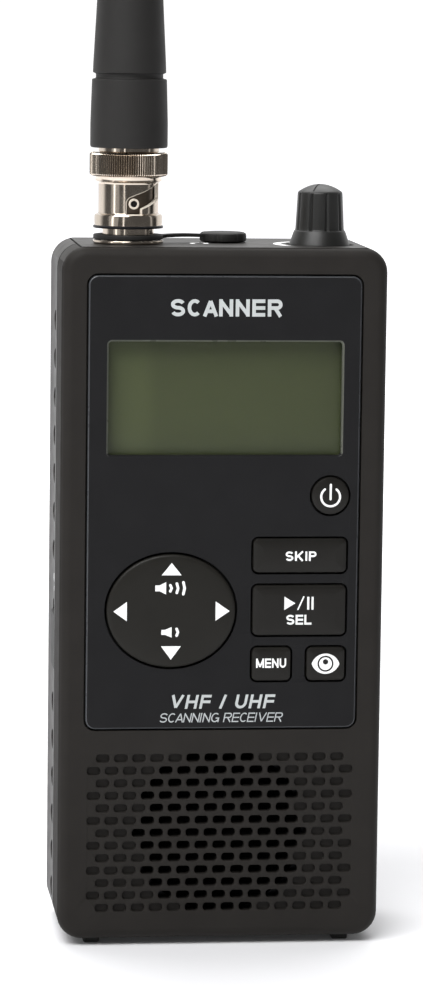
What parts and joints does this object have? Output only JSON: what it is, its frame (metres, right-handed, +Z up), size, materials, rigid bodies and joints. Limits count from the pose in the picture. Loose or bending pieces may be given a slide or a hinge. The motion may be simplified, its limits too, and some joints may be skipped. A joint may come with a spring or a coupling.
{
  "type": "police scanner",
  "caption": "Handheld police scanner with a bayonet-mounted rubber antenna, volume knob, display, key panel, speaker grille, battery door and belt clip.",
  "frame": {"origin": "bottom centre of the whole object, on the surface that the feet stand on", "axes": "+Z up along the antenna, -Y towards the side with the display, +X to the right as the display is read"},
  "size_m": [0.06, 0.039, 0.306],
  "materials": {
    "case_plastic": "fine-grained satin charcoal moulding",
    "panel_plastic": "satin blue-black moulding",
    "key_plastic": "glossy black caps",
    "clear_window": "clear acrylic window",
    "display": "olive reflective liquid crystal",
    "rubber": "soft matt black rubber",
    "foot_rubber": "grey rubber",
    "nickel": "bright nickel plate",
    "brass": "bare brass",
    "steel": "plain steel",
    "board": "green solder mask",
    "white_plastic": "white insulator",
    "cell_sleeve": "printed sleeve of a cell",
    "paper": "black paper cone"
  },
  "bodies": {
    "case": {"front_cover": "case_plastic", "front_panel": "panel_plastic", "display_window": "clear_window", "lcd_glass": "display", "keypad_mat": "foot_rubber", "main_board": "board", "rf_shield": "steel", "speaker_frame": "steel", "speaker_magnet": "steel", "rear_shell": "case_plastic", "top_plate": "case_plastic", "volume_control": "steel", "volume_nut": "nickel", "earphone_socket": "key_plastic", "bnc_jack": "nickel", "bnc_insulator": "white_plastic", "bnc_contact": "brass", "bnc_flange_nut": "nickel", "tether_ring": "rubber", "battery_1": "cell_sleeve", "battery_2": "cell_sleeve", "battery_spring_1": "steel", "battery_spring_2": "steel", "contact_bridge": "steel", "contact_positive": "steel", "contact_negative": "steel", "usb_socket": "steel", "clip_base": "key_plastic", "clip_spring": "steel", "clip_screw_1": "steel", "clip_screw_2": "steel", "case_screw_1": "steel", "case_screw_2": "steel", "case_screw_3": "steel", "case_screw_4": "steel", "foot_1": "foot_rubber", "foot_2": "foot_rubber", "foot_3": "foot_rubber", "foot_4": "foot_rubber"},
    "knob": {"volume_knob": "key_plastic", "knob_shaft": "steel"},
    "pad_pivot": {"dpad_pivot": "white_plastic"},
    "pad": {"dpad": "key_plastic"},
    "power_key": {"power_button": "key_plastic"},
    "skip_key": {"skip_button": "key_plastic"},
    "select_key": {"select_button": "key_plastic"},
    "menu_key": {"menu_button": "key_plastic"},
    "watch_key": {"watch_button": "key_plastic"},
    "cone": {"speaker_cone": "paper"},
    "cap": {"jack_cap": "rubber"},
    "gasket": {"bnc_gasket": "white_plastic"},
    "plug_ring": {"bnc_retaining_ring": "steel"},
    "coupling_nut": {"bnc_nut": "nickel"},
    "antenna": {"antenna_plug": "nickel", "antenna_element": "brass", "antenna_sleeve": "rubber"},
    "door": {"battery_door": "case_plastic"},
    "latch": {"battery_latch": "key_plastic"},
    "usb_flap": {"usb_cover": "rubber"},
    "clip": {"belt_clip": "key_plastic"}
  },
  "joints": [
    {"name": "knob_turn", "type": "hinge", "parent": "case", "child": "knob", "pos_m": [0.0187, -0.0067, 0.13], "axis": [0, 0, 1], "range_deg": [-300, 0]},
    {"name": "pad_tilt_up_down", "type": "hinge", "parent": "case", "child": "pad_pivot", "pos_m": [-0.0095, -0.0145, 0.0631], "axis": [1, 0, 0], "range_deg": [-2.2, 2.2], "stiffness_Nm_per_rad": 0.05},
    {"name": "pad_tilt_left_right", "type": "hinge", "parent": "pad_pivot", "child": "pad", "pos_m": [-0.0095, -0.0145, 0.0631], "axis": [0, 0, 1], "range_deg": [-2.2, 2.2], "stiffness_Nm_per_rad": 0.05},
    {"name": "power_press", "type": "slide", "parent": "case", "child": "power_key", "axis": [0, 1, 0], "range_m": [0, 0.0005], "stiffness_N_per_m": 300},
    {"name": "skip_press", "type": "slide", "parent": "case", "child": "skip_key", "axis": [0, 1, 0], "range_m": [0, 0.0005], "stiffness_N_per_m": 300},
    {"name": "select_press", "type": "slide", "parent": "case", "child": "select_key", "axis": [0, 1, 0], "range_m": [0, 0.0005], "stiffness_N_per_m": 300},
    {"name": "menu_press", "type": "slide", "parent": "case", "child": "menu_key", "axis": [0, 1, 0], "range_m": [0, 0.0005], "stiffness_N_per_m": 300},
    {"name": "watch_press", "type": "slide", "parent": "case", "child": "watch_key", "axis": [0, 1, 0], "range_m": [0, 0.0005], "stiffness_N_per_m": 300},
    {"name": "cone_travel", "type": "slide", "parent": "case", "child": "cone", "axis": [0, 1, 0], "range_m": [-0.0004, 0.0004], "stiffness_N_per_m": 600},
    {"name": "jack_cap_lift", "type": "hinge", "parent": "case", "child": "cap", "pos_m": [-0.01049, -0.00474, 0.13125], "axis": [0.2878, -0.9577, 0], "range_deg": [0, 75]},
    {"name": "antenna_pull", "type": "slide", "parent": "case", "child": "gasket", "axis": [0, 0, 1], "range_m": [0, 0.01]},
    {"name": "antenna_draw", "type": "slide", "parent": "gasket", "child": "plug_ring", "axis": [0, 0, 1], "range_m": [-0.00101, 0]},
    {"name": "coupling_turn", "type": "hinge", "parent": "plug_ring", "child": "coupling_nut", "pos_m": [-0.017, -0.0067, 0.14], "axis": [0, 0, 1], "range_deg": [-28, 0]},
    {"name": "antenna_spin", "type": "hinge", "parent": "plug_ring", "child": "antenna", "pos_m": [-0.017, -0.0067, 0.16], "axis": [0, 0, 1], "continuous": true},
    {"name": "battery_door_open", "type": "hinge", "parent": "case", "child": "door", "pos_m": [0, 0.0123, 0.0075], "axis": [-1, 0, 0], "range_deg": [0, 80]},
    {"name": "battery_latch_slide", "type": "slide", "parent": "door", "child": "latch", "axis": [0, 0, -1], "range_m": [0, 0.002], "stiffness_N_per_m": 100},
    {"name": "usb_cover_open", "type": "hinge", "parent": "case", "child": "usb_flap", "pos_m": [-0.03, -0.0006, 0.0497], "axis": [0, -1, 0], "range_deg": [0, 100]},
    {"name": "belt_clip_open", "type": "hinge", "parent": "case", "child": "clip", "pos_m": [0, 0.016, 0.108], "axis": [1, 0, 0], "range_deg": [0, 12], "stiffness_Nm_per_rad": 0.4}
  ],
  "couplings": [
    {"joint": "antenna_draw", "follows": "coupling_turn", "m_per_rad": 0.0020626}
  ]
}
